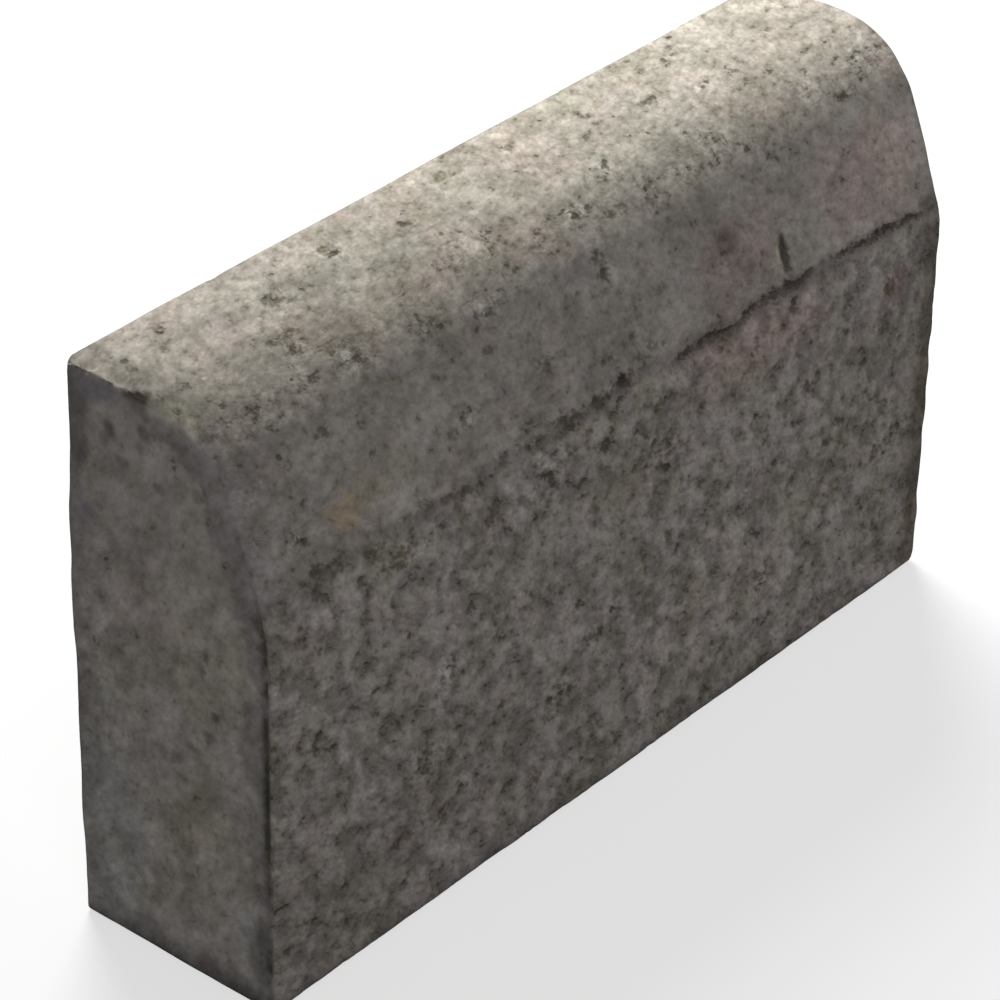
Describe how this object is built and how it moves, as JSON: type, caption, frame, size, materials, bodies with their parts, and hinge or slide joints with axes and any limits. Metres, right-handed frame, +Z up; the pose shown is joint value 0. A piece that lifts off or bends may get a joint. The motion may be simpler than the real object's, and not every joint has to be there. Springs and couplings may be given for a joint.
{
  "type": "concrete kerb stone",
  "caption": "Upright precast concrete kerb stone with a level top, a rounded nose, a battered upper road face with a crease below it, and square ends.",
  "frame": {"origin": "middle of the base, on the bedding plane", "axes": "+X along the kerb, -Y towards the road, +Z up"},
  "size_m": [0.5, 0.12, 0.3],
  "materials": {
    "concrete": "weathered cast concrete: fine and pale on the top and nose, coarse and pitted below the crease"
  },
  "bodies": {
    "root": {"kerb_stone": "concrete"}
  },
  "joints": []
}
